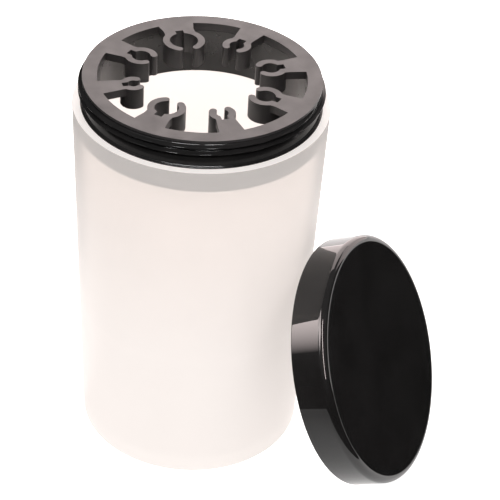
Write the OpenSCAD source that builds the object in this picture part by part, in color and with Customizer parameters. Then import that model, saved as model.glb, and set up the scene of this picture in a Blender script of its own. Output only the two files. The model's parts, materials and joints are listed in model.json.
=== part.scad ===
// Brush washer cup: a milky cup with a threaded neck ring, a lift-out brush rack and a screw lid.
// Millimetres, +Z up. The origin is the centre of the cup's footprint, on the surface it stands on.
// The lid is off: it stands on its open edge and leans on the cup wall.

/* [Cup] */
// Height of the cup, floor surface to rim
cup_h = 139.5; // [120:0.5:160]
// Outer radius of the cup at the rim
rim_r = 46; // [46:0.1:46.5]
// Outer radius of the cup at the base
base_r = 41.8; // [40:0.1:44]
// Thickness of the cup wall
cup_wall = 3.4; // [3.4:0.1:4]
// Thickness of the cup floor
floor_t = 3.2; // [2.5:0.1:6]

/* [Neck ring] */
// Depth of the skirt that goes down inside the mouth
skirt_d = 9.5; // [8:0.5:12]
// Height of the neck above the rim, rack included
neck_h = 10.8; // [10.8:0.1:12]
// Outer radius of the neck at the thread root
root_r = 42.4; // [42:0.1:42.4]
// Outer radius of the thread crest
crest_r = 43.9; // [43.2:0.1:43.9]
// Inner radius of the neck ring
bore_r = 37.2; // [36:0.1:37.5]
// Rise of the thread in one turn
pitch = 2.5; // [2.2:0.1:2.5]
// Turns of thread on the neck
turns = 1.72; // [1:0.02:1.74]

/* [Brush rack] */
// Radius of the circle the clip centres lie on
clip_circle_r = 25.2; // [25:0.1:26]
// Direction of the first clip, anticlockwise from +X
first_clip_az = 16.8; // [0:0.1:45]
// Wall of a clip arm
arm_t = 2.5; // [1.8:0.1:2.8]
// Height of a clip sleeve
sleeve_h = 7.8; // [5:0.5:12]
// Thickness of the webs between ring and clips
web_t = 3; // [2.5:0.1:4]

/* [Lid] */
// Outer radius of the lid
lid_r = 46.5; // [46.2:0.1:48]
// Height of the lid
lid_h = 13.6; // [13:0.1:13.8]
// Thickness of the lid's top
lid_top_t = 1.8; // [1.6:0.1:2.2]
// Rounding of the lid's upper edge
lid_edge_r = 2.6; // [1:0.1:3.5]
// Thickness of the sealing ring in the lid
liner_t = 1.2; // [1:0.1:1.4]
// Angle between the leaning lid and upright
lean = 24.4; // [15:0.1:35]
// Direction of the lid from the cup, anticlockwise from +X
lid_az = -21.2; // [-60:0.1:-5]

/* [Hidden] */
$fn = 96;

// brush diameters held by the eight clips, anticlockwise from the first one
clip_d = [6.5, 5.4, 10.2, 6.7, 4, 8.4, 4.4, 7.2];
clip_step = 360 / len(clip_d);
mouth_gap = 2.2;
mouth_gap_per_d = 0.14;
notch_d = 1.9;
notch_w_max = 2.9;
notch_w_per_d = 0.58;
tip_ease = 0.04;
web_w = 3.2;
web_w_per_d = 0.79;
web_bury = 0.3;
web_flare = 1.2;
web_root_bury = 0.6;
rack_overhang = 0.1;
rack_edge = 0.2;

// cup
base_edge_r = 1.6;
rim_edge_r = 0.3;
floor_fillet = 5;
mouth_r = 42.7;
mouth_lead = 0.4;
wall_slope = (rim_r - base_r) / cup_h;
skirt_z = cup_h - skirt_d;

// neck ring
neck_top = cup_h + neck_h;
flange_t = 1;
flange_z = neck_top - flange_t;
skirt_r = mouth_r;
lip_r = 43.2;
lip_t = 0.5;
neck_foot_h = 0.6;
neck_edge = 0.3;
skirt_lead_r = 0.5;
skirt_lead_h = 0.8;
spigot_r = 39.5;
spigot_gap = 0.08;
shelf_gap = 0.1;
shelf_z = neck_top - web_t - shelf_gap;
core_in_r = bore_r + 1.7;
core_out_r = core_in_r + 1.4;
core_top_z = shelf_z - 2.2;
seal_h = 1.7;
seal_depth = 1;
seal_z = skirt_z + 3.5;

// thread, all heights are of the ridge's middle line
thread_z0 = flange_z - 5.1;
thread_az0 = 83;
ridge_foot = 0.75;
ridge_top = 0.35;
ridge_bury = 0.2;
fade_start = 0.15;
fade_deg = 24;
step_deg = 7.5;
thread_gap = 0.3;

// lid, drawn with its top face on z = 0 and its open side down
lid_wall_r = crest_r + thread_gap;
lid_thread_r = root_r + thread_gap + 0.1;
lid_turns = turns - 0.1;
seated_top = neck_top + liner_t + lid_top_t;
lid_thread_z0 = thread_z0 - pitch / 2 - seated_top;
lid_rim_edge = 0.4;
seal_ring_in_r = bore_r - 1.2;
seal_ring_out_r = lid_wall_r - 0.1;
lean_gap = 0.4;
touch_r = base_r + wall_slope * 2 * lid_r * cos(lean);
foot_x = touch_r + lean_gap + 2 * lid_r * sin(lean);
lid_x = foot_x - lid_r * sin(lean) + lid_h * cos(lean);
lid_z = lid_r * cos(lean) + lid_h * sin(lean);

function wall_r(z) = base_r + wall_slope * z;
function arc_pts(cx, cy, r, a0, a1, n) =
    [for (i = [0:n]) [cx + r * cos(a0 + (a1 - a0) * i / n), cy + r * sin(a0 + (a1 - a0) * i / n)]];

// One helical ridge, right-handed. r_foot is inside the wall it stands on.
module thread_ridge(r_foot, r_top, z0, az0, n_turns) {
    n = ceil(n_turns * 360 / step_deg);
    span = n_turns * 360;
    pts = [for (i = [0:n])
        let (
            a = span * i / n,
            grow = min(1, a / fade_deg, (span - a) / fade_deg),
            r = r_foot + (r_top - r_foot) * (fade_start + (1 - fade_start) * grow),
            z = z0 + pitch * a / 360,
            az = az0 + a
        )
        each [
            [r_foot * cos(az), r_foot * sin(az), z - ridge_foot],
            [r * cos(az), r * sin(az), z - ridge_top],
            [r * cos(az), r * sin(az), z + ridge_top],
            [r_foot * cos(az), r_foot * sin(az), z + ridge_foot]
        ]
    ];
    inward = r_top < r_foot;
    sides = [for (i = [0:n - 1]) for (k = [0:3])
        let (
            a = 4 * i + k,
            b = 4 * i + (k + 1) % 4,
            quad = [a, b, b + 4, a + 4]
        )
        each inward ? [[quad[0], quad[2], quad[1]], [quad[0], quad[3], quad[2]]]
            : [[quad[0], quad[1], quad[2]], [quad[0], quad[2], quad[3]]]
    ];
    ends = [
        inward ? [0, 1, 2, 3] : [3, 2, 1, 0],
        inward ? [4 * n + 3, 4 * n + 2, 4 * n + 1, 4 * n] : [4 * n, 4 * n + 1, 4 * n + 2, 4 * n + 3]
    ];
    polyhedron(points = pts, faces = concat(sides, ends), convexity = 6);
}

module cup_body() {
    inner_foot_r = wall_r(floor_t) - cup_wall;
    color([0.95, 0.92, 0.9])
        rotate_extrude()
            polygon(concat(
                [[0, 0]],
                arc_pts(base_r - base_edge_r, base_edge_r, base_edge_r, -90, 0, 6),
                arc_pts(rim_r - rim_edge_r, cup_h - rim_edge_r, rim_edge_r, 0, 90, 5),
                [[mouth_r + mouth_lead, cup_h], [mouth_r, cup_h - mouth_lead], [mouth_r, skirt_z]],
                [[wall_r(skirt_z) - cup_wall, skirt_z]],
                arc_pts(inner_foot_r - floor_fillet, floor_t + floor_fillet, floor_fillet, 0, -90, 8),
                [[0, floor_t]]
            ));
}

// Ring pressed into the mouth: skirt below, lip on the rim, threaded neck above.
module threaded_collar() {
    groove_r = skirt_r - seal_depth;
    color([0.06, 0.06, 0.065])
        union() {
            rotate_extrude()
                polygon([
                    [bore_r, skirt_z],
                    [core_in_r, skirt_z],
                    [core_in_r, core_top_z],
                    [core_out_r, core_top_z],
                    [core_out_r, skirt_z],
                    [skirt_r - skirt_lead_r, skirt_z],
                    [skirt_r, skirt_z + skirt_lead_h],
                    [skirt_r, seal_z],
                    [groove_r, seal_z],
                    [groove_r, seal_z + seal_h],
                    [skirt_r, seal_z + seal_h],
                    [skirt_r, cup_h],
                    [lip_r, cup_h],
                    [lip_r, cup_h + lip_t],
                    [root_r, cup_h + lip_t + neck_foot_h],
                    [root_r, flange_z - neck_edge],
                    [root_r - neck_edge, flange_z],
                    [spigot_r + spigot_gap, flange_z],
                    [spigot_r + spigot_gap, shelf_z],
                    [bore_r, shelf_z]
                ]);
            thread_ridge(root_r - ridge_bury, crest_r, thread_z0, thread_az0, turns);
        }
}

// Rubber ring in the skirt's groove, at its squeezed size.
module collar_seal() {
    color([0.1, 0.1, 0.1])
        rotate_extrude()
            translate([skirt_r - seal_depth, seal_z])
                square([seal_depth, seal_h]);
}

// Flat outline of one spring clip, bore centred on the origin, mouth towards -X.
module clip_plan(d) {
    mid_r = (d + arm_t) / 2;
    gap = mouth_gap + mouth_gap_per_d * d;
    open_a = asin((gap + arm_t) / 2 / mid_r);
    notch_w = min(notch_w_max, notch_w_per_d * d);
    reach = d + 2 * arm_t;
    difference() {
        circle(d = reach);
        circle(d = d);
        translate([0, -notch_w / 2])
            square([d / 2 + notch_d, notch_w]);
        polygon([
            [0, 0],
            [-reach * cos(open_a), reach * sin(open_a)],
            [-reach * cos(open_a), -reach * sin(open_a)]
        ]);
    }
    for (s = [-1, 1])
        translate([-mid_r * cos(open_a), s * mid_r * sin(open_a)])
            circle(d = arm_t - tip_ease);
}

// Flat outline of the web behind a clip; it ends inside the clip's wall and inside the ring.
module web_plan(d) {
    neck_w = web_w + web_w_per_d * d;
    reach = d + 2 * arm_t;
    root_x = bore_r + web_root_bury - clip_circle_r;
    difference() {
        polygon([
            [0.3 * reach, neck_w / 2],
            [0.3 * reach, -neck_w / 2],
            [0.5 * reach, -neck_w / 2],
            [root_x, -neck_w / 2 - web_flare],
            [root_x, neck_w / 2 + web_flare],
            [0.5 * reach, neck_w / 2]
        ]);
        circle(r = d / 2 + arm_t - web_bury);
    }
}

// One clip and its web in place, top faces level with the ring.
module clip(d) {
    translate([clip_circle_r, 0, neck_top - sleeve_h])
        linear_extrude(sleeve_h)
            clip_plan(d);
    translate([clip_circle_r, 0, neck_top - web_t])
        linear_extrude(web_t)
            web_plan(d);
}

// Flat ring resting on the neck, eight webs and eight spring clips, one moulding.
module brush_rack() {
    color([0.2, 0.19, 0.19])
        union() {
            rotate_extrude()
                polygon([
                    [bore_r, neck_top - web_t],
                    [spigot_r, neck_top - web_t],
                    [spigot_r, flange_z],
                    [root_r + rack_overhang, flange_z],
                    [root_r + rack_overhang, neck_top - rack_edge],
                    [root_r + rack_overhang - rack_edge, neck_top],
                    [bore_r, neck_top]
                ]);
            for (i = [0:len(clip_d) - 1])
                rotate([0, 0, first_clip_az + i * clip_step])
                    clip(clip_d[i]);
        }
}

// Moves a piece from the lid's own frame to its leaning place.
module at_lean() {
    rotate([0, 0, lid_az])
        translate([lid_x, 0, lid_z])
            rotate([0, 90 - lean, 0])
                children();
}

module lid_cap() {
    color([0.03, 0.03, 0.035])
        at_lean()
            union() {
                rotate_extrude()
                    polygon(concat(
                        [[0, -lid_top_t], [lid_wall_r, -lid_top_t]],
                        [[lid_wall_r, lid_rim_edge - lid_h], [lid_wall_r + lid_rim_edge, -lid_h]],
                        [[lid_r - lid_rim_edge, -lid_h], [lid_r, lid_rim_edge - lid_h]],
                        arc_pts(lid_r - lid_edge_r, -lid_edge_r, lid_edge_r, 0, 90, 8),
                        [[0, 0]]
                    ));
                thread_ridge(lid_wall_r + ridge_bury, lid_thread_r, lid_thread_z0, thread_az0, lid_turns);
            }
}

// Flat sealing ring glued under the lid's top; it presses on the rack's flat ring.
module lid_seal_ring() {
    color([0.45, 0.45, 0.46])
        at_lean()
            rotate_extrude()
                translate([seal_ring_in_r, -lid_top_t - liner_t])
                    square([seal_ring_out_r - seal_ring_in_r, liner_t]);
}

cup_body();
threaded_collar();
collar_seal();
brush_rack();
lid_cap();
lid_seal_ring();
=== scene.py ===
"""Looks for the brush washer cup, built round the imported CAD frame. Metres, +Z up."""
import json
import math

import bmesh
import bpy
from mathutils import Matrix, Vector


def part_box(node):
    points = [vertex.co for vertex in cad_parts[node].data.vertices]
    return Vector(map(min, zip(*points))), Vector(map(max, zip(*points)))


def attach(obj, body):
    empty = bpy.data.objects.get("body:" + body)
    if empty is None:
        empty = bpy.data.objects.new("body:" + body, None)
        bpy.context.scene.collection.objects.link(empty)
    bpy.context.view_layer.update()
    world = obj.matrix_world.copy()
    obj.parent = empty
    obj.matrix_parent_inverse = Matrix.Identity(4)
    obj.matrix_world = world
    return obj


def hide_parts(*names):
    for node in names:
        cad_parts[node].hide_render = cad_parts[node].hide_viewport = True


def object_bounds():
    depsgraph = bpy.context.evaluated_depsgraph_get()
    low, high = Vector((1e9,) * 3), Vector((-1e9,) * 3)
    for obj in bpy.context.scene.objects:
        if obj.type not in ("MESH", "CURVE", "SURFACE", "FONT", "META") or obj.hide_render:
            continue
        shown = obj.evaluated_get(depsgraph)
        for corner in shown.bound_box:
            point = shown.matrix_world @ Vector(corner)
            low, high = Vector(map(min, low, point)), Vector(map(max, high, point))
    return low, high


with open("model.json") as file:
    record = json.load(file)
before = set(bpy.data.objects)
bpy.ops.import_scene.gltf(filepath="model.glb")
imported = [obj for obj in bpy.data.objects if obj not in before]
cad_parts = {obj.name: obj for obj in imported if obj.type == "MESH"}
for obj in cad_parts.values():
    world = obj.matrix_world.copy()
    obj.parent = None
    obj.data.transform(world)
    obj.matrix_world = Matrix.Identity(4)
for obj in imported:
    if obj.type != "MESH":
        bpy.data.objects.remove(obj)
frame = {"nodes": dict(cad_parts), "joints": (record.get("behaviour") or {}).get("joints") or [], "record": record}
cad_lo, cad_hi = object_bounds()

MM = 0.001
TAU = 2 * math.pi

# ---------------------------------------------------------------- sizes, from the frame
cup_lo, cup_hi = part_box("cup_body")
rack_lo, rack_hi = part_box("brush_rack")
collar_lo, collar_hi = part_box("threaded_collar")
CUP_H = cup_hi.z
RIM_R = (cup_hi.x - cup_lo.x) / 2
NECK_TOP = rack_hi.z
SLEEVE_Z = rack_lo.z
SKIRT_Z = collar_lo.z
FLANGE_Z = collar_hi.z
CREST_R = (collar_hi.x - collar_lo.x) / 2

joint = {j["name"]: j for j in frame["joints"]}
TIP_AXIS = Vector(joint["lid_tip"]["axis"])
LEAN = math.radians(joint["lid_tip"]["range_deg"][1] - 90)
LID_AZ = math.atan2(-TIP_AXIS.x, TIP_AXIS.y)
clips = [m for m in frame["record"]["mounts"] if m["kind"] == "clamp"]

# sizes that the frame's boxes don't show, as in the design
BASE_R = 41.8 * MM
CUP_WALL = 3.4 * MM
FLOOR_T = 3.2 * MM
MOUTH_R = 42.7 * MM
BORE_R = 37.2 * MM
ROOT_R = 42.4 * MM
LIP_R = 43.2 * MM
LIP_T = 0.5 * MM
SPIGOT_R = 39.5 * MM
WEB_T = 3 * MM
ARM_T = 2.5 * MM
PITCH = 2.5 * MM
TURNS = 1.72
THREAD_AZ0 = 83
THREAD_Z0 = FLANGE_Z - 5.1 * MM
LID_R = 46.5 * MM
LID_H = 13.6 * MM
LID_TOP_T = 1.8 * MM
LID_EDGE_R = 2.6 * MM
LEAN_GAP = 0.4 * MM
LINER_T = 1.2 * MM
LID_WALL_R = CREST_R + 0.3 * MM

FLOOR_DROP = 0.05 * MM
CARD_Z, CARD_NEAR_Z = 0.3 * MM, 0.2 * MM
CARD_BLACK = (0.004, 0.004, 0.004, 1)
WARM = (1, 0.87, 0.85)

CAMERA_AT = Vector((0, -600.9, 512.7)) * MM
CAMERA_TURN = (1.944, 36.05, 3.472)


# ---------------------------------------------------------------- mesh helpers
def arc(cx, cz, r, a0, a1, n):
    """Points on an arc in the (radius, height) plane, angles in degrees."""
    out = []
    for i in range(n + 1):
        a = math.radians(a0 + (a1 - a0) * i / n)
        out.append((cx + r * math.cos(a), cz + r * math.sin(a)))
    return out


def make_object(name, bm, sharp_deg=32):
    """A mesh object from a bmesh, smooth except at edges sharper than sharp_deg."""
    bmesh.ops.recalc_face_normals(bm, faces=bm.faces)
    mesh = bpy.data.meshes.new(name)
    bm.to_mesh(mesh)
    bm.free()
    mesh.shade_smooth()
    mesh.set_sharp_from_angle(angle=math.radians(sharp_deg))
    obj = bpy.data.objects.new(name, mesh)
    bpy.context.scene.collection.objects.link(obj)
    return obj


def lathe(name, profile_at, segments, closed=True, sharp_deg=32):
    """Turns a profile round Z. profile_at(azimuth in degrees) gives (r, z) points, as many at every azimuth.
    closed joins the last point to the first; otherwise both ends lie on the axis."""
    bm = bmesh.new()
    columns = []
    poles = {}
    for s in range(segments):
        az = 360 * s / segments
        column = []
        for i, (r, z) in enumerate(profile_at(az)):
            if r < 1e-7:
                if i not in poles:
                    poles[i] = bm.verts.new((0, 0, z))
                column.append(poles[i])
            else:
                a = math.radians(az)
                column.append(bm.verts.new((r * math.cos(a), r * math.sin(a), z)))
        columns.append(column)
    count = len(columns[0])
    for s in range(segments):
        left, right = columns[s], columns[(s + 1) % segments]
        for i in range(count if closed else count - 1):
            j = (i + 1) % count
            corners = []
            for v in (left[i], right[i], right[j], left[j]):
                if v not in corners:
                    corners.append(v)
            if len(corners) > 2:
                bm.faces.new(corners)
    return make_object(name, bm, sharp_deg)


def prism(name, outline, z0, z1):
    """A flat outline, anticlockwise, raised from z0 to z1."""
    bm = bmesh.new()
    low = [bm.verts.new((x, y, z0)) for x, y in outline]
    high = [bm.verts.new((x, y, z1)) for x, y in outline]
    bm.faces.new(list(reversed(low)))
    bm.faces.new(high)
    for i in range(len(outline)):
        j = (i + 1) % len(outline)
        bm.faces.new((low[i], low[j], high[j], high[i]))
    return make_object(name, bm)


def apply_modifiers(obj):
    """Bakes an object's modifiers into its mesh."""
    dg = bpy.context.evaluated_depsgraph_get()
    mesh = bpy.data.meshes.new_from_object(obj.evaluated_get(dg))
    obj.modifiers.clear()
    old = obj.data
    obj.data = mesh
    bpy.data.meshes.remove(old)


def ridge_height(az, z, z0, az0, turns, foot, crest, fade=24):
    """0 to 1: how far a right-handed helical ridge stands up at this azimuth (degrees) and height."""
    span = turns * 360
    best = 0.0
    a = (az - az0) % 360
    while a <= span:
        d = abs(z - (z0 + PITCH * a / 360))
        t = max(0.0, min(1.0, (foot - d) / (foot - crest)))
        grow = max(0.0, min(1.0, a / fade, (span - a) / fade))
        best = max(best, t * (0.6 + 0.4 * t) * grow)
        a += 360
    return best


# ---------------------------------------------------------------- pieces
def build_cup():
    slope = (RIM_R - BASE_R) / CUP_H
    base_edge, rim_edge = 1.6 * MM, 0.3 * MM
    inner_foot = BASE_R + slope * FLOOR_T - CUP_WALL
    fillet = 5 * MM
    gate_r, gate_depth = 1.6 * MM, 0.35 * MM
    mouth_edge, step_edge = 0.4 * MM, 0.05 * MM
    profile = [(0, gate_depth), (gate_r, gate_depth), (gate_r + 0.3 * MM, 0)]
    profile += arc(BASE_R - base_edge, base_edge, base_edge, -90, 0, 8)
    hold = 0.3 * MM
    for z in (base_edge + hold, CUP_H / 3, CUP_H * 2 / 3, CUP_H - rim_edge - hold):
        profile.append((BASE_R + slope * z, z))
    profile += arc(RIM_R - rim_edge, CUP_H - rim_edge, rim_edge, 0, 90, 8)
    profile += arc(MOUTH_R + mouth_edge, CUP_H - mouth_edge, mouth_edge, 90, 180, 4)
    profile += [(MOUTH_R, SKIRT_Z + step_edge), (MOUTH_R - step_edge, SKIRT_Z)]
    top_in = BASE_R + slope * SKIRT_Z - CUP_WALL
    rows = 12
    for i in range(rows):
        z = SKIRT_Z + (FLOOR_T + fillet - SKIRT_Z) * i / rows
        profile.append((top_in + (inner_foot - top_in) * i / rows, z))
    profile += arc(inner_foot - fillet, FLOOR_T + fillet, fillet, 0, -90, 10)
    profile.append((0, FLOOR_T))
    cup = lathe("cup_shell", lambda az: profile, 256, closed=False)
    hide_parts("cup_body")
    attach(cup, "cup")
    return cup


def build_collar():
    core_in = BORE_R + 1.7 * MM
    core_out = core_in + 1.4 * MM
    core_top = NECK_TOP - WEB_T - 2.3 * MM
    shelf = NECK_TOP - WEB_T - 0.1 * MM
    seal_z, seal_h, seal_d = SKIRT_Z + 3.5 * MM, 1.7 * MM, 1 * MM
    skirt = MOUTH_R - 0.02 * MM
    seat = SPIGOT_R + 0.08 * MM
    soft, lip_edge, neck_foot = 0.25 * MM, 0.2 * MM, 0.4 * MM
    inside = arc(BORE_R + soft, SKIRT_Z + soft, soft, 180, 270, 3)
    inside += [(core_in, SKIRT_Z), (core_in, core_top), (core_out, core_top), (core_out, SKIRT_Z)]
    inside += [(skirt - 0.5 * MM, SKIRT_Z), (skirt, SKIRT_Z + 0.8 * MM), (skirt, seal_z)]
    inside += [(skirt - seal_d, seal_z), (skirt - seal_d, seal_z + seal_h), (skirt, seal_z + seal_h)]
    inside += [(skirt, CUP_H)]
    lip = [(LIP_R, CUP_H)]
    lip += arc(LIP_R - lip_edge, CUP_H + LIP_T - lip_edge, lip_edge, 0, 90, 3)
    lip += arc(ROOT_R + neck_foot, CUP_H + LIP_T + neck_foot, neck_foot, 270, 180, 4)
    wall_lo, wall_hi = CUP_H + LIP_T + 0.45 * MM, FLANGE_Z - 0.02 * MM
    rows = 84
    top = [(seat, FLANGE_Z), (seat, shelf), (BORE_R, shelf)]
    foot, crest = 0.85 * MM, 0.16 * MM

    def profile_at(az):
        wall = []
        for i in range(rows + 1):
            z = wall_lo + (wall_hi - wall_lo) * i / rows
            h = ridge_height(az, z, THREAD_Z0, THREAD_AZ0, TURNS, foot, crest)
            wall.append((ROOT_R + (CREST_R - ROOT_R) * h, z))
        return inside + lip + wall + top

    collar = lathe("neck_ring", profile_at, 360, sharp_deg=50)
    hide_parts("threaded_collar")
    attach(collar, "cup")
    return collar


def clip_outline(d):
    """Spring clip in plan, mouth towards -X, bore on the origin."""
    mid = (d + ARM_T) / 2
    gap = 2.2 * MM + 0.14 * d
    open_deg = math.degrees(math.asin((gap + ARM_T) / 2 / mid))
    notch = min(2.9 * MM, 0.58 * d)
    notch_deg = math.degrees(math.asin(notch / d))
    deep = d / 2 + 1.9 * MM
    end = 180 - open_deg
    outline = arc(0, 0, d / 2 + ARM_T, -end, end, 56)
    tip = (mid * math.cos(math.radians(end)), mid * math.sin(math.radians(end)))
    outline += arc(tip[0], tip[1], ARM_T / 2, end, end + 180, 10)[1:]
    outline += arc(0, 0, d / 2, end, notch_deg, 28)[1:]
    outline += [(deep, notch / 2), (deep, -notch / 2)]
    outline += arc(0, 0, d / 2, -notch_deg, -end, 28)
    outline += arc(tip[0], -tip[1], ARM_T / 2, 180 - end, 360 - end, 10)[1:-1]
    return outline


def web_outline(d, centre_r):
    """Web behind a clip, in the clip's own frame; both ends are buried in what they join."""
    neck = 3.2 * MM + 0.79 * d
    reach = d + 2 * ARM_T
    root_x = BORE_R + 0.6 * MM - centre_r
    bury = d / 2 + ARM_T - 0.3 * MM
    edge = math.degrees(math.asin(min(1.0, neck / 2 / bury)))
    start = max(0.3 * reach, bury * math.cos(math.radians(edge)))
    points = [(start, -neck / 2), (0.5 * reach, -neck / 2), (root_x, -neck / 2 - 1.2 * MM)]
    points += [(root_x, neck / 2 + 1.2 * MM), (0.5 * reach, neck / 2), (start, neck / 2)]
    points += arc(0, 0, bury, edge, -edge, 16)[1:-1]
    return points


def build_rack():
    edge = 0.15 * MM
    ring_profile = [(BORE_R, NECK_TOP - WEB_T), (SPIGOT_R, NECK_TOP - WEB_T), (SPIGOT_R, FLANGE_Z)]
    ring_profile += [(ROOT_R + 0.1 * MM, FLANGE_Z), (ROOT_R + 0.1 * MM, NECK_TOP), (BORE_R, NECK_TOP)]
    rack = lathe("rack_moulding", lambda az: ring_profile, 192)
    for i, mount in enumerate(clips):
        x, y = mount["pos_m"][0], mount["pos_m"][1]
        d = 2 * mount["dims"]["r_mm"] * MM
        place = Matrix.Translation((x, y, 0)) @ Matrix.Rotation(math.atan2(y, x), 4, "Z")
        parts = (
            prism(f"sleeve_{i}", clip_outline(d), SLEEVE_Z, NECK_TOP),
            prism(f"web_{i}", web_outline(d, math.hypot(x, y)), NECK_TOP - WEB_T, NECK_TOP),
        )
        for part in parts:
            part.data.transform(place)
            join = rack.modifiers.new(part.name, "BOOLEAN")
            join.operation = "UNION"
            join.solver = "EXACT"
            join.object = part
            bpy.context.view_layer.update()
            apply_modifiers(rack)
            bpy.data.objects.remove(part)
    bm = bmesh.new()
    bm.from_mesh(rack.data)
    bmesh.ops.remove_doubles(bm, verts=bm.verts, dist=0.002 * MM)
    bmesh.ops.dissolve_limit(bm, angle_limit=math.radians(0.5), verts=bm.verts, edges=bm.edges)
    bm.to_mesh(rack.data)
    bm.free()
    bevel = rack.modifiers.new("edges", "BEVEL")
    bevel.width = edge
    bevel.segments = 2
    bevel.limit_method = "ANGLE"
    bevel.angle_limit = math.radians(50)
    bevel.use_clamp_overlap = True
    bevel.harden_normals = True
    rack.data.shade_smooth()
    apply_modifiers(rack)
    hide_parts("brush_rack")
    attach(rack, "rack")
    return rack


def lid_place():
    """Matrix from the lid's own frame (top face on z = 0, open side down) to its leaning place."""
    slope = (RIM_R - BASE_R) / CUP_H
    touch = BASE_R + slope * 2 * LID_R * math.cos(LEAN)
    foot = touch + LEAN_GAP + 2 * LID_R * math.sin(LEAN)
    x = foot - LID_R * math.sin(LEAN) + LID_H * math.cos(LEAN)
    z = LID_R * math.cos(LEAN) + LID_H * math.sin(LEAN)
    turn = Matrix.Rotation(LID_AZ, 4, "Z")
    return turn @ Matrix.Translation((x, 0, z)) @ Matrix.Rotation(math.radians(90) - LEAN, 4, "Y")


def build_lid():
    z0 = THREAD_Z0 - PITCH / 2 - (NECK_TOP + LINER_T + LID_TOP_T)
    rows = 84
    wall_hi, wall_lo = -LID_TOP_T - 0.3 * MM, 0.5 * MM - LID_H
    crest_r = ROOT_R + 0.4 * MM
    foot, crest = 0.8 * MM, 0.3 * MM
    inner_edge, outer_edge, hold = 0.3 * MM, 0.4 * MM, 0.15 * MM
    rim = arc(LID_WALL_R + inner_edge, -LID_H + inner_edge, inner_edge, 180, 270, 4)
    rim += arc(LID_R - outer_edge, -LID_H + outer_edge, outer_edge, -90, 0, 5)
    # rows of points close beside the rounding keep the flat parts flat
    outside = [(LID_R, -LID_H + outer_edge + hold), (LID_R, -LID_EDGE_R - hold)]
    outside += arc(LID_R - LID_EDGE_R, -LID_EDGE_R, LID_EDGE_R, 0, 90, 16)
    outside += [(LID_R - LID_EDGE_R - hold, 0), (LID_R * 0.6, 0), (0, 0)]

    def profile_at(az):
        wall = []
        for i in range(rows + 1):
            z = wall_hi + (wall_lo - wall_hi) * i / rows
            h = ridge_height(az, z, z0, THREAD_AZ0, TURNS - 0.1, foot, crest)
            wall.append((LID_WALL_R + (crest_r - LID_WALL_R) * h, z))
        return [(0, -LID_TOP_T), (LID_WALL_R - 0.3 * MM, -LID_TOP_T)] + wall + rim + outside

    lid = lathe("screw_lid", profile_at, 288, closed=False, sharp_deg=50)
    lid.data.transform(lid_place())
    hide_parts("lid_cap")
    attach(lid, "lid")

    lo, hi = -LID_TOP_T - LINER_T, -LID_TOP_T
    r0, r1, soft = BORE_R - 1.2 * MM, LID_WALL_R - 0.1 * MM, 0.3 * MM
    ring = arc(r0 + soft, lo + soft, soft, 180, 270, 4)
    for centre in (39.2 * MM, 40.8 * MM):
        ring += arc(centre, lo + 0.12 * MM, 0.35 * MM, 200, 340, 6)
    ring += arc(r1 - soft, lo + soft, soft, 270, 360, 4) + [(r1, hi), (r0, hi)]
    liner = lathe("lid_gasket", lambda az: ring, 192)
    liner.data.transform(lid_place())
    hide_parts("lid_seal_ring")
    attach(liner, "lid")
    return lid, liner


# ---------------------------------------------------------------- materials
class Nodes:
    """Short hand for building a node tree."""

    def __init__(self, name):
        self.material = bpy.data.materials.new(name)
        self.material.use_nodes = True
        self.tree = self.material.node_tree
        self.tree.nodes.clear()
        self.out = self.add("ShaderNodeOutputMaterial")

    def add(self, kind, **values):
        node = self.tree.nodes.new(kind)
        for key, value in values.items():
            if hasattr(node, key):
                setattr(node, key, value)
            else:
                node.inputs[key.replace("_", " ")].default_value = value
        return node

    def link(self, a, out_name, b, in_name):
        self.tree.links.new(a.outputs[out_name], b.inputs[in_name])

    def noise(self, scale, detail=3.0, stretch=(1, 1, 1)):
        coord = self.add("ShaderNodeTexCoord")
        mapping = self.add("ShaderNodeMapping", Scale=stretch)
        self.link(coord, "Object", mapping, "Vector")
        noise = self.add("ShaderNodeTexNoise", Scale=scale, Detail=detail, Roughness=0.55)
        self.link(mapping, "Vector", noise, "Vector")
        return noise

    def ramp(self, source, out_name, low, high, low_value, high_value):
        """Maps low..high of a source to low_value..high_value."""
        node = self.add("ShaderNodeMapRange", clamp=True)
        node.inputs["From Min"].default_value = low
        node.inputs["From Max"].default_value = high
        node.inputs["To Min"].default_value = low_value
        node.inputs["To Max"].default_value = high_value
        self.link(source, out_name, node, "Value")
        return node

    def bump(self, source, out_name, distance, strength, below=None):
        node = self.add("ShaderNodeBump", Distance=distance, Strength=strength)
        self.link(source, out_name, node, "Height")
        if below:
            self.link(below, "Normal", node, "Normal")
        return node

    def tint(self, source, colour_a, colour_b, low=0.35, high=0.65):
        value = self.ramp(source, "Fac", low, high, 0, 1)
        mix = self.add("ShaderNodeMix", data_type="RGBA")
        for socket in mix.inputs:
            if socket.type == "RGBA":
                socket.default_value = (*(colour_a if socket.name == "A" else colour_b), 1)
        self.tree.links.new(value.outputs["Result"], mix.inputs["Factor"])
        return mix


def rgba_output(mix):
    return next(s for s in mix.outputs if s.type == "RGBA")


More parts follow.
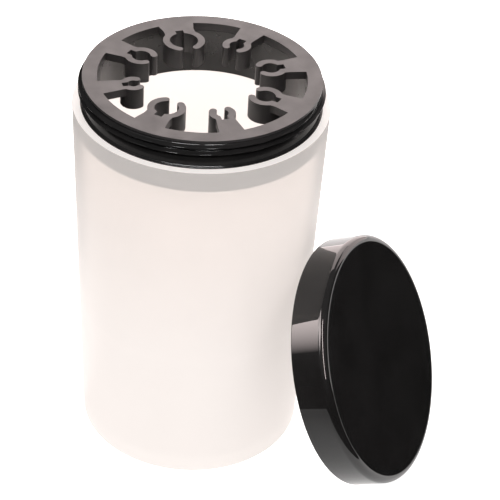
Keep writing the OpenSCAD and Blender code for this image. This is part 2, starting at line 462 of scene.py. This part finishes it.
def moulded(name, colour_a, colour_b, rough, grain_scale, grain, scratch=0.0, ior=1.5):
    """Moulded plastic or rubber: mottled colour, uneven gloss, fine grain and faint scratches."""
    n = Nodes(name)
    shader = n.add("ShaderNodeBsdfPrincipled")
    shader.inputs["IOR"].default_value = ior
    cloud = n.noise(60, 4)
    mix = n.tint(cloud, colour_a, colour_b)
    n.tree.links.new(rgba_output(mix), shader.inputs["Base Color"])
    gloss = n.ramp(n.noise(140, 5), "Fac", 0.3, 0.7, rough * 0.82, rough * 1.18)
    n.link(gloss, "Result", shader, "Roughness")
    fine = n.noise(grain_scale, 2)
    bump = n.bump(fine, "Fac", 0.05 * MM, grain)
    if scratch:
        lines = n.noise(420, 2, stretch=(1, 1, 0.04))
        bump = n.bump(lines, "Fac", 0.02 * MM, scratch, below=bump)
    n.link(bump, "Normal", shader, "Normal")
    n.link(shader, "BSDF", n.out, "Surface")
    return n.material


def milky():
    """Milky cup plastic: mostly scattering, and partly clear, so what touches its inside shows through; a painted
    glow (emission) lifts it, more on up-facing surfaces.
    """
    n = Nodes("milky_cup")
    body = n.add("ShaderNodeBsdfPrincipled")
    body.inputs["IOR"].default_value = 1.49
    mix = n.tint(n.noise(25, 3), (0.52, 0.5, 0.49), (0.54, 0.52, 0.51))
    n.tree.links.new(rgba_output(mix), body.inputs["Base Color"])
    gloss = n.ramp(n.noise(90, 4), "Fac", 0.3, 0.7, 0.3, 0.42)
    n.link(gloss, "Result", body, "Roughness")
    bump = n.bump(n.noise(700, 2), "Fac", 0.03 * MM, 0.12)
    n.link(bump, "Normal", body, "Normal")
    # painted light: the cup glows with warm emission of its own, stronger on up-facing surfaces such as the rim,
    # to lift its shaded parts
    body.inputs["Emission Color"].default_value = (1.0, 0.95, 0.92, 1)
    facing = n.add("ShaderNodeSeparateXYZ")
    coord = n.add("ShaderNodeTexCoord")
    n.link(coord, "Normal", facing, "Vector")
    glow = n.ramp(facing, "Z", 0.5, 0.9, 0.76, 0.95)
    n.link(glow, "Result", body, "Emission Strength")
    through = n.add("ShaderNodeBsdfTranslucent")
    through.inputs["Color"].default_value = (0.55, 0.53, 0.515, 1)
    clear = n.add("ShaderNodeBsdfRefraction")
    clear.inputs["Color"].default_value = (0.96, 0.925, 0.905, 1)
    clear.inputs["Roughness"].default_value = 0.2
    clear.inputs["IOR"].default_value = 1.2
    soft = n.add("ShaderNodeMixShader")
    soft.inputs["Fac"].default_value = 0.45
    n.link(body, "BSDF", soft, 1)
    n.link(through, "BSDF", soft, 2)
    final = n.add("ShaderNodeMixShader")
    # clear share: most at the mouth's band, little lower down, none on level surfaces
    place = n.add("ShaderNodeSeparateXYZ")
    n.link(coord, "Object", place, "Vector")
    height = n.ramp(place, "Z", SKIRT_Z - 75 * MM, SKIRT_Z, 0.16, 0.55)
    level = n.ramp(facing, "Z", 0.5, 0.9, 1, 0)
    share = n.add("ShaderNodeMath", operation="MULTIPLY")
    n.tree.links.new(height.outputs["Result"], share.inputs[0])
    n.tree.links.new(level.outputs["Result"], share.inputs[1])
    n.link(share, "Value", final, "Fac")
    n.link(soft, "Shader", final, 1)
    n.link(clear, "BSDF", final, 2)
    n.link(final, "Shader", n.out, "Surface")
    return n.material


def paint(obj, material):
    obj.data.materials.clear()
    obj.data.materials.append(material)


# ---------------------------------------------------------------- stage, light, camera
def build_stage():
    mesh = bpy.data.meshes.new("studio_floor")
    size = 6.0
    corners = [(-size, -size, 0), (size, -size, 0), (size, size, 0), (-size, size, 0)]
    mesh.from_pydata(corners, [], [(0, 1, 2, 3)])
    floor = bpy.data.objects.new("studio_floor", mesh)
    bpy.context.scene.collection.objects.link(floor)
    floor.location.z = -FLOOR_DROP
    n = Nodes("pale_floor")
    shader = n.add("ShaderNodeBsdfPrincipled")
    shader.inputs["Base Color"].default_value = (0.9, 0.9, 0.9, 1)
    shader.inputs["Roughness"].default_value = 0.9
    shader.inputs["Emission Color"].default_value = (1, 0.995, 0.99, 1)
    path = n.add("ShaderNodeLightPath")
    glow = n.ramp(path, "Is Camera Ray", 0, 1, 0.5, 0.9)
    n.link(glow, "Result", shader, "Emission Strength")
    n.link(shader, "BSDF", n.out, "Surface")
    paint(floor, n.material)


def mirrored_on_floor(point, normal):
    """Where the camera, looking at a polished point, sees the floor."""
    ray = (point - CAMERA_AT).normalized()
    ray = ray - 2 * ray.dot(normal) * normal
    return point - ray * (point.z / ray.z)


def fading_black():
    """A black that thins out towards the lid's foot."""
    n = Nodes("card_fading")
    foot = lid_place() @ Vector((LID_R, 0, -LID_H / 2))
    where = n.add("ShaderNodeNewGeometry")
    gap = n.add("ShaderNodeVectorMath", operation="DISTANCE")
    n.tree.links.new(where.outputs["Position"], gap.inputs[0])
    gap.inputs[1].default_value = foot
    share = n.ramp(gap, "Value", 0.03, 0.17, 0, 0.6)
    clear = n.add("ShaderNodeBsdfTransparent")
    dark = n.add("ShaderNodeBsdfDiffuse")
    dark.inputs["Color"].default_value = CARD_BLACK
    mix = n.add("ShaderNodeMixShader")
    n.link(share, "Result", mix, "Fac")
    n.link(clear, "BSDF", mix, 1)
    n.link(dark, "BSDF", mix, 2)
    n.link(mix, "Shader", n.out, "Surface")
    return n.material


def build_cards():
    """Black cards on the floor, seen only in reflections: one fills the lid's face, one lies in front and
    to the sides, and a fading one darkens the floor between them and the lid's foot."""
    n = Nodes("card_black")
    shader = n.add("ShaderNodeBsdfDiffuse")
    shader.inputs["Color"].default_value = CARD_BLACK
    n.link(shader, "BSDF", n.out, "Surface")
    place = lid_place()
    normal = (place.to_3x3() @ Vector((0, 0, 1))).normalized()
    face_r = LID_R - LID_EDGE_R * 0.8
    face = []
    for i in range(72):
        a = TAU * i / 72
        spot = mirrored_on_floor(place @ Vector((face_r * math.cos(a), face_r * math.sin(a), 0)), normal)
        face.append((spot.x, spot.y))
    far = 7.0
    front = [(-far, -far), (far, -far), (far, 0.9), (0.6, 0.08), (0.28, 0.045), (0.17, -0.02)]
    front += [(0.165, -0.06), (0.14, -0.11), (0.095, -0.16), (0.03, -0.2), (-0.03, -0.215)]
    front += [(-0.075, -0.18), (-0.14, -0.08), (-0.16, 0.05), (-0.16, 0.6), (-far, 0.6)]
    near = [(-0.2, -0.3), (0.3, -0.3), (0.3, 0), (-0.2, 0)]
    fading = fading_black()
    for name, outline, z, black in (
        ("card_face", face, CARD_Z, n.material),
        ("card_front", front, CARD_Z, n.material),
        ("card_near", near, CARD_NEAR_Z, fading),
    ):
        mesh = bpy.data.meshes.new(name)
        mesh.from_pydata([(x, y, 0) for x, y in outline], [], [list(range(len(outline)))])
        card = bpy.data.objects.new(name, mesh)
        bpy.context.scene.collection.objects.link(card)
        card.location.z = z
        paint(card, black)
        card.visible_camera = card.visible_diffuse = card.visible_transmission = card.visible_shadow = False


def build_world():
    """Even studio light from well above the horizon, weaker in reflections, so the gloss stays deep."""
    world = bpy.data.worlds.new("studio")
    bpy.context.scene.world = world
    world.use_nodes = True
    tree = world.node_tree
    tree.nodes.clear()
    out = tree.nodes.new("ShaderNodeOutputWorld")
    back = tree.nodes.new("ShaderNodeBackground")
    coord = tree.nodes.new("ShaderNodeTexCoord")
    split = tree.nodes.new("ShaderNodeSeparateXYZ")
    ramp = tree.nodes.new("ShaderNodeMapRange")
    ramp.inputs["From Min"].default_value = 0.2
    ramp.inputs["From Max"].default_value = 0.6
    ramp.inputs["To Min"].default_value = 0.0
    ramp.inputs["To Max"].default_value = 1.0
    tree.links.new(coord.outputs["Generated"], split.inputs["Vector"])
    tree.links.new(split.outputs["Z"], ramp.inputs["Value"])
    path = tree.nodes.new("ShaderNodeLightPath")
    gloss = tree.nodes.new("ShaderNodeMapRange")
    gloss.inputs["To Min"].default_value = 1.0
    gloss.inputs["To Max"].default_value = 0.22
    strength = tree.nodes.new("ShaderNodeMath")
    strength.operation = "MULTIPLY"
    tree.links.new(path.outputs["Is Glossy Ray"], gloss.inputs["Value"])
    tree.links.new(ramp.outputs["Result"], strength.inputs[0])
    tree.links.new(gloss.outputs["Result"], strength.inputs[1])
    tree.links.new(strength.outputs["Value"], back.inputs["Strength"])
    back.inputs["Color"].default_value = (1.0, 0.99, 0.98, 1)
    tree.links.new(back.outputs["Background"], out.inputs["Surface"])


def add_area(name, az, el, target, size, radiance, reach=1.2, roll=0, only=None, colour=(1, 1, 1)):
    """A soft rectangular light in direction az, el (degrees) from the target, rolled about its own axis."""
    az, el = math.radians(az), math.radians(el)
    away = Vector((math.cos(el) * math.cos(az), math.cos(el) * math.sin(az), math.sin(el)))
    light = bpy.data.lights.new(name, "AREA")
    light.shape = "RECTANGLE"
    light.size, light.size_y = size
    light.energy = radiance * math.pi * size[0] * size[1]
    light.color = colour
    obj = bpy.data.objects.new(name, light)
    turn = away.to_track_quat("Z", "Y").to_matrix().to_4x4() @ Matrix.Rotation(math.radians(roll), 4, "Z")
    obj.matrix_world = Matrix.Translation(Vector(target) + reach * away) @ turn
    bpy.context.scene.collection.objects.link(obj)
    obj.visible_camera = False
    if only:
        group = bpy.data.collections.new(name + "_receivers")
        group.objects.link(only)
        obj.light_linking.receiver_collection = group
    return obj


def fade_out(obj, power):
    """Lets a light thin out to nothing along its own X."""
    light = obj.data
    light.use_nodes = True
    tree = light.node_tree
    where = tree.nodes.new("ShaderNodeNewGeometry")
    split = tree.nodes.new("ShaderNodeSeparateXYZ")
    curve = tree.nodes.new("ShaderNodeMath")
    curve.operation = "POWER"
    curve.inputs[1].default_value = power
    rest = tree.nodes.new("ShaderNodeMath")
    rest.operation = "SUBTRACT"
    rest.inputs[0].default_value = 1.0
    tree.links.new(where.outputs["Parametric"], split.inputs["Vector"])
    tree.links.new(split.outputs["X"], curve.inputs[0])
    tree.links.new(curve.outputs["Value"], rest.inputs[1])
    tree.links.new(rest.outputs["Value"], tree.nodes["Emission"].inputs["Strength"])


def build_camera():
    """The photograph's viewing angle: from the front and above, slightly rolled, with a long lens."""
    yaw, pitch, roll = (math.radians(v) for v in CAMERA_TURN)
    forward = Vector((math.sin(yaw) * math.cos(pitch), math.cos(yaw) * math.cos(pitch), -math.sin(pitch)))
    level = Vector((math.cos(yaw), -math.sin(yaw), 0))
    above = level.cross(forward)
    right = math.cos(roll) * level + math.sin(roll) * above
    top = -math.sin(roll) * level + math.cos(roll) * above
    data = bpy.data.cameras.new("camera")
    data.sensor_width = 36
    data.lens = 142.65
    data.clip_start, data.clip_end = 0.02, 50
    camera = bpy.data.objects.new("camera", data)
    turn = Matrix((right, top, -forward)).transposed()
    camera.matrix_world = Matrix.Translation(CAMERA_AT) @ turn.to_4x4()
    bpy.context.scene.collection.objects.link(camera)
    bpy.context.scene.camera = camera


# ---------------------------------------------------------------- assemble
paint(build_cup(), milky())
collar = build_collar()
collar_black = moulded(
    "collar_black", (0.0015, 0.0015, 0.0015), (0.0025, 0.0023, 0.0023), 0.16, 1500, 0.1, 0.1, ior=1.25)
paint(collar, collar_black)
# painted reflection: the bore is the same black moulding as the rest of the collar, given a lighter, warmer colour
# for the milky cup's light reflected inside it
collar_bore_painted_reflection = moulded("collar_bore_painted_reflection", (0.006, 0.0055, 0.0052), (0.008, 0.0074, 0.007), 0.3, 1500, 0.05, ior=1.4)
collar.data.materials.append(collar_bore_painted_reflection)
for face in collar.data.polygons:
    if math.hypot(face.center.x, face.center.y) < BORE_R + 0.5 * MM:
        face.material_index = 1
paint(build_rack(), moulded("rack_grey", (0.026, 0.024, 0.024), (0.032, 0.029, 0.029), 0.42, 2200, 0.3))
lid, liner = build_lid()
paint(lid, moulded("lid_black", (0.005, 0.005, 0.005), (0.007, 0.007, 0.007), 0.02, 900, 0.002, 0.002))
paint(liner, moulded("liner_grey", (0.36, 0.36, 0.37), (0.44, 0.44, 0.45), 0.6, 1800, 0.3))
seal = frame["nodes"]["collar_seal"]
paint(seal, moulded("seal_black", (0.03, 0.03, 0.03), (0.05, 0.05, 0.05), 0.6, 1800, 0.3))

build_stage()
build_cards()
build_world()
centre = (cad_lo + cad_hi) / 2
lid_lo, lid_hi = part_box("lid_cap")
lid_mid = (lid_lo + lid_hi) / 2
neck_mid = Vector((0, 0, NECK_TOP))
add_area("key", -151, 50, centre, (0.9, 0.9), 1.6, reach=1.5)
fill = add_area("fill", -55, 34, centre, (0.9, 0.7), 1.9, reach=1.4)
fill.visible_glossy = False
add_area("backdrop_low", 81, 12, centre, (1.0, 0.62), 3.7, reach=1.25, colour=WARM)
add_area("backdrop_high", 86, 43, centre, (1.15, 0.85), 3.5, reach=1.45, colour=WARM)
add_area("front_strip", -96, 48, neck_mid, (0.9, 0.14), 220, only=collar)

# boxes that only the lid reflects
to_lid = {"only": lid, "colour": WARM}
side_box = add_area("side_box", 186, 31, lid_mid, (0.65, 0.36), 12.5, reach=1.0, roll=-32, **to_lid)
fade_out(side_box, 2)
backdrop_left = add_area("backdrop_left", 116, 26, lid_mid, (0.4, 0.6), 3.2, reach=1.0, **to_lid)
fade_out(backdrop_left, 0.6)
add_area("top_box", -147, 54, lid_mid, (0.55, 0.4), 9, reach=1.0, **to_lid)
add_area("backdrop_right", 44, 18, lid_mid, (0.62, 0.75), 2.6, reach=1.2, **to_lid)
add_area("edge_strip", -66, 50, lid_mid, (0.09, 0.8), 26, reach=1.0, **to_lid)
build_camera()
bpy.context.scene.view_settings.view_transform = "Standard"
